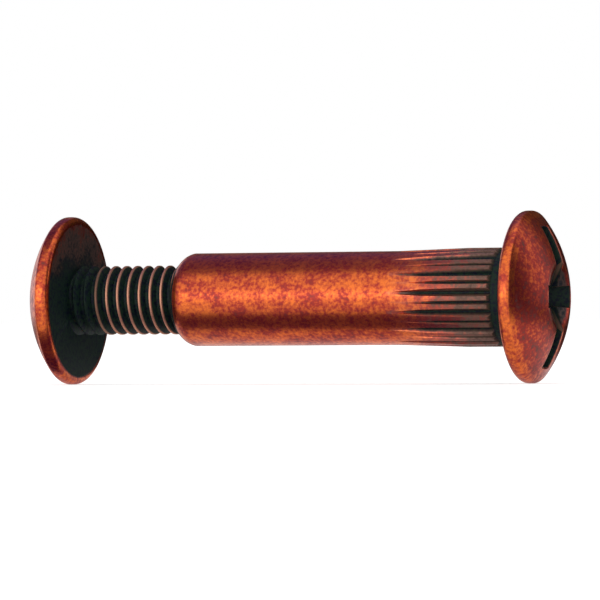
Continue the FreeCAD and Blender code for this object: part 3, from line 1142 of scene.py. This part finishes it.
def mark(piece: bpy.types.Object, handle: Handle, measure: Callable[[Vector], float]) -> None:
    """Writes an attribute of a piece's points, each from its place in the working frame.

    Args:
        piece: The piece in the working frame.
        handle: Which attribute.
        measure: A function from a point to a number.
    """
    values = [measure(vertex.co) for vertex in piece.data.vertices]
    attribute = piece.data.attributes.new(handle.value, "FLOAT", "POINT")
    attribute.data.foreach_set("value", values)


def finish_piece(
    piece: bpy.types.Object, place: Matrix, material: bpy.types.Material, node: str, body: str
) -> None:
    """Smooths a piece, brings it to metres in its place and hands it to the frame.

    Args:
        piece: The piece in the working frame, in millimetres.
        place: Where the working frame lies, in millimetres.
        material: The piece's finish.
        node: The plain solid that it stands in for.
        body: The moving body that it rides on.
    """
    piece.data.transform(Matrix.Scale(MM, 4) @ place)
    piece.data.materials.clear()
    piece.data.materials.append(material)
    for polygon in piece.data.polygons:
        polygon.material_index = 0
    pick(piece)
    bpy.ops.object.shade_smooth_by_angle(angle=SMOOTH_ANGLE)
    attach(piece, body)
    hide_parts(node)
    shape = bmesh.new()
    shape.from_mesh(piece.data)
    open_edges = sum(not edge.is_manifold for edge in shape.edges)
    triangles = sum(len(face.verts) - 2 for face in shape.faces)
    LOG.info("%s: %d triangles, %d open edges, %.1f mm3", piece.name, triangles, open_edges,
             shape.calc_volume() / MM**3)
    shape.free()


# --- Studio ------------------------------------------------------------------------------------------------


@dataclass(frozen=True)
class View:
    """Where the camera stands, as seen from the middle of the piece.

    Attributes:
        azimuth: Degrees from the -Y direction towards +X.
        elevation: Degrees above the level.
        roll: Degrees of turn about the line of sight.
        distance: Metres from the piece's middle.
        lens: Focal length in millimetres.
        right_mm: How far to the right of the middle it is aimed.
        up_mm: How far above the middle it is aimed.
    """

    azimuth: float = 20.73
    elevation: float = -0.2
    roll: float = -0.4
    distance: float = 0.4406
    lens: float = 312.3
    right_mm: float = 0.195
    up_mm: float = -0.093


@dataclass(frozen=True)
class Card:
    """A coloured card that only the piece's polish mirrors.

    Attributes:
        name: The card's name.
        size: Its width and its height in metres.
        place: Its middle in metres.
        facing: The direction its front looks in.
        tone: Its colour.
    """

    name: str
    size: tuple[float, float]
    place: tuple[float, float, float]
    facing: tuple[float, float, float]
    tone: str


@dataclass(frozen=True)
class Lamp:
    """A rectangular soft light, aimed at the piece.

    Attributes:
        name: The lamp's name.
        toward: Direction from the piece to the lamp.
        distance: How far away it stands, in metres.
        size: Its two sides in metres.
        power: Its power in watts.
        mirrored: Whether the piece's polish shows it.
    """

    name: str
    toward: tuple[float, float, float]
    distance: float
    size: tuple[float, float]
    power: float
    mirrored: bool


class Studio:
    """A pale floor, a white surround, soft light, coloured cards and the camera.

    Attributes:
        floor_level: Height of the floor in metres.
        middle: The point that the lamps and the camera are aimed from.
    """

    SOFT = 0.6  # strength of the surround as light
    LIFT = 0.6  # how much the floor glows where it is seen
    MIRRORED_LIFT = 0.3  # how much it glows where it is mirrored
    CARDS = (
        Card("card_over", (0.27, 0.17), (-0.165, 0.045, 0.09), (0, 0, -1), "#6a5894"),
        # painted shadow: a dark strip on the floor in front, mirrored where the piece's own shadow lies
        Card("painted_shadow_front", (0.078, 0.0085), (-0.043, -0.0076, -0.0071), (0, 0, 1), "#5c4674"),
        Card("card_crown", (0.14, 0.22), (0.15, -0.02, 0.10), (-1, 0, 0), "#302850"),
        Card("card_crown_floor", (0.13, 0.09), (0.085, 0.015, -0.0071), (0, 0, 1), "#302850"),
        Card("card_side", (0.09, 0.22), (0.12, 0.077, 0.10), (-0.84, -0.54, 0), "#ece0e4"),
        Card("card_behind", (0.14, 0.037), (0.0023, 0.112, 0.0114), (-0.354, -0.935, 0), "#0c100e"),
        Card("card_behind_top", (0.16, 0.18), (0.0025, 0.113, 0.12), (-0.354, -0.935, 0), "#4a4234"),
        Card("card_behind_floor", (0.16, 0.10), (-0.02, 0.062, -0.0071), (0, 0, 1), "#0c100e"),
        Card("card_far_end", (0.07, 0.3), (-0.124, 0.18, 0.06), (0.42, -0.9, 0), "#7c6450"),
    )
    LAMPS = (
        Lamp("front_box", (-0.354, -0.935, 0.15), 0.6, (0.5, 0.12), 0.30, True),
        Lamp("top_light", (-0.2, 0.6, 0.8), 0.8, (0.5, 0.5), 1.2, False),
    )

    def __init__(self, floor_level: float, middle: Vector) -> None:
        """Keeps where the floor and the middle of the piece are.

        Args:
            floor_level: Height of the floor in metres.
            middle: The point that the lamps and the camera are aimed from.
        """
        self.floor_level = floor_level
        self.middle = middle

    def build(self, view: View) -> None:
        """Sets up the whole studio.

        Args:
            view: Where the camera stands.
        """
        self._surround()
        self._floor()
        for card in self.CARDS:
            self._stand_card(card)
        for lamp in self.LAMPS:
            self._hang_lamp(lamp)
        self._camera(view)
        bpy.context.scene.view_settings.view_transform = "Standard"

    def _mirrored_or_seen(self, tree: bpy.types.NodeTree) -> bpy.types.NodeSocket:
        """Tells the rays that see the surround from the soft light.

        Args:
            tree: The node tree.

        Returns:
            1 for rays from the camera, from a mirror and through glass, and 0 for soft light.
        """
        path = add_node(tree, "ShaderNodeLightPath")
        sockets = {0: path.outputs["Is Camera Ray"], 1: path.outputs["Is Glossy Ray"]}
        either = add_node(tree, "ShaderNodeMath", sockets, operation="MAXIMUM").outputs[0]
        sockets = {0: either, 1: path.outputs["Is Transmission Ray"]}
        return add_node(tree, "ShaderNodeMath", sockets, operation="MAXIMUM").outputs[0]

    def _surround(self) -> None:
        """Makes a world that is white where it is seen or mirrored, and soft light elsewhere."""
        world = bpy.data.worlds.new("studio")
        bpy.context.scene.world = world
        world.use_nodes = True
        tree = world.node_tree
        tree.nodes.clear()
        light = add_node(tree, "ShaderNodeBackground", {"Color": (1, 1, 1, 1), "Strength": self.SOFT})
        white = add_node(tree, "ShaderNodeBackground", {"Color": (1, 1, 1, 1), "Strength": 1.0})
        sockets = {0: self._mirrored_or_seen(tree), 1: light.outputs[0], 2: white.outputs[0]}
        mix = add_node(tree, "ShaderNodeMixShader", sockets)
        add_node(tree, "ShaderNodeOutputWorld", {"Surface": mix.outputs[0]})

    def _floor(self) -> None:
        """Lays a wide matt floor that looks white and keeps the soft shadow."""
        floor = self._plane("floor", (12.0, 12.0), Vector((0, 0, self.floor_level)), Vector((0, 0, 1)))
        material, tree = new_material("matt white card")
        path = add_node(tree, "ShaderNodeLightPath")
        sockets = {0: path.outputs["Is Camera Ray"], 1: path.outputs["Is Transmission Ray"]}
        seen = add_node(tree, "ShaderNodeMath", sockets, operation="MAXIMUM").outputs[0]
        seen = add_node(tree, "ShaderNodeMath", {0: seen, 1: self.LIFT}, operation="MULTIPLY").outputs[0]
        sockets = {0: path.outputs["Is Glossy Ray"], 1: self.MIRRORED_LIFT, 2: seen}
        lift = add_node(tree, "ShaderNodeMath", sockets, operation="MULTIPLY_ADD").outputs[0]
        glow = add_node(tree, "ShaderNodeEmission", {"Color": (1, 1, 1, 1), "Strength": lift})
        matt = add_node(tree, "ShaderNodeBsdfDiffuse", {"Color": (0.85, 0.85, 0.85, 1)})
        both = add_node(tree, "ShaderNodeAddShader", {0: glow.outputs[0], 1: matt.outputs[0]})
        add_node(tree, "ShaderNodeOutputMaterial", {"Surface": both.outputs[0]})
        floor.data.materials.append(material)

    def _plane(self, name: str, size: tuple[float, float], place: Vector, facing: Vector) -> bpy.types.Object:
        """Adds a rectangle.

        Args:
            name: Name of the new object.
            size: Its two sides in metres.
            place: Its middle.
            facing: The direction its front looks in.

        Returns:
            The rectangle.
        """
        bpy.ops.object.select_all(action="DESELECT")
        turn = facing.to_track_quat("Z", "Y").to_euler()
        bpy.ops.mesh.primitive_plane_add(size=1, location=place, rotation=turn)
        plane = bpy.context.object
        plane.name = name
        plane.scale = (size[0], size[1], 1)
        return plane

    def _stand_card(self, card: Card) -> None:
        """Stands up one card.

        Args:
            card: Its size, place and colour.
        """
        plane = self._plane(card.name, card.size, Vector(card.place), Vector(card.facing))
        material, tree = new_material(f"{card.name} paper")
        glow = add_node(tree, "ShaderNodeEmission", {"Color": linear(card.tone), "Strength": 1.0})
        add_node(tree, "ShaderNodeOutputMaterial", {"Surface": glow.outputs[0]})
        plane.data.materials.append(material)
        plane.visible_camera = False
        plane.visible_diffuse = False
        plane.visible_shadow = False

    def _hang_lamp(self, lamp: Lamp) -> None:
        """Hangs one soft light, out of the camera's sight.

        Args:
            lamp: Its size, place and power.
        """
        data = bpy.data.lights.new(lamp.name, "AREA")
        data.shape = "RECTANGLE"
        data.size, data.size_y = lamp.size
        data.energy = lamp.power
        toward = Vector(lamp.toward)
        light = bpy.data.objects.new(lamp.name, data)
        light.location = self.middle + toward.normalized() * lamp.distance
        light.rotation_euler = toward.to_track_quat("Z", "Y").to_euler()
        light.visible_camera = False
        light.visible_glossy = lamp.mirrored
        bpy.context.scene.collection.objects.link(light)

    def _camera(self, view: View) -> None:
        """Stands the camera up, nearly level with the axis and swung towards the nut's crown.

        Args:
            view: Where it stands.
        """
        azimuth, elevation = math.radians(view.azimuth), math.radians(view.elevation)
        back = Vector((
            math.sin(azimuth) * math.cos(elevation), -math.cos(azimuth) * math.cos(elevation), math.sin(elevation),
        ))
        facing = back.to_track_quat("Z", "Y")
        right, up = facing @ Vector((1, 0, 0)), facing @ Vector((0, 1, 0))
        aim = self.middle + (right * view.right_mm + up * view.up_mm) * MM
        data = bpy.data.cameras.new("camera")
        data.lens = view.lens
        data.clip_start, data.clip_end = 0.01, 50
        camera = bpy.data.objects.new("camera", data)
        camera.matrix_world = (
            Matrix.Translation(aim + back * view.distance)
            @ facing.to_matrix().to_4x4()
            @ Matrix.Rotation(math.radians(view.roll), 4, "Z")
        )
        bpy.context.scene.collection.objects.link(camera)
        bpy.context.scene.camera = camera


# --- Assembly ----------------------------------------------------------------------------------------------


def corners(low: Vector, high: Vector) -> list[list[float]]:
    """A box as plain lists of numbers."""
    return [list(low), list(high)]


def main() -> None:
    """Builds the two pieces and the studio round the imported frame."""
    logging.basicConfig(level=logging.INFO, format="%(name)s: %(message)s")
    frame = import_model()
    seats = {mount["name"]: mount["pos_m"][0] / MM for mount in frame["record"]["mounts"]}
    nut_low, nut_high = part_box("barrel_nut")
    screw_low, screw_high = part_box("male_screw")
    diameter = (nut_high.z - nut_low.z) / MM

    head = DomedHead(diameter=diameter)
    nut = BarrelNut(head=head, length=seats["nut_head_seat"] - nut_low.x / MM)
    screw = MaleScrew(head=head, length=screw_high.x / MM - seats["screw_head_seat"])

    nut_piece = nut.build()
    mark(nut_piece, Handle.SHELTER, nut.shelter)
    mark(nut_piece, Handle.WEAR, nut.wear)
    nut_finish = AntiqueCopper(
        "antique copper on barrel nut", seat=0.0, outward=1.0, head=head,
        film=0.1, fade_start=-8.5, fade_end=-3.5, fade_share=0.45,
    )
    finish_piece(nut_piece, Matrix.Identity(4), nut_finish.material(), "barrel_nut", "barrel")

    screw_piece = screw.build()
    mark(screw_piece, Handle.SHELTER, screw.shelter)
    mark(screw_piece, Handle.WEAR, screw.wear)
    place = Matrix.Translation((seats["screw_head_seat"], 0, 0)) @ Matrix.Rotation(math.pi, 4, "Z")
    screw_finish = AntiqueCopper(
        "antique copper on male screw", seat=seats["screw_head_seat"], outward=-1.0, head=head,
        film=0.1, fade_start=1.0, fade_end=2.0, fade_share=0.0,
    )
    finish_piece(screw_piece, place, screw_finish.material(), "male_screw", "screw")

    middle = Vector(((nut_high.x + screw_low.x) / 2, 0, 0))
    Studio(nut_low.z, middle).build(View())


if __name__ == "__main__":
    main()
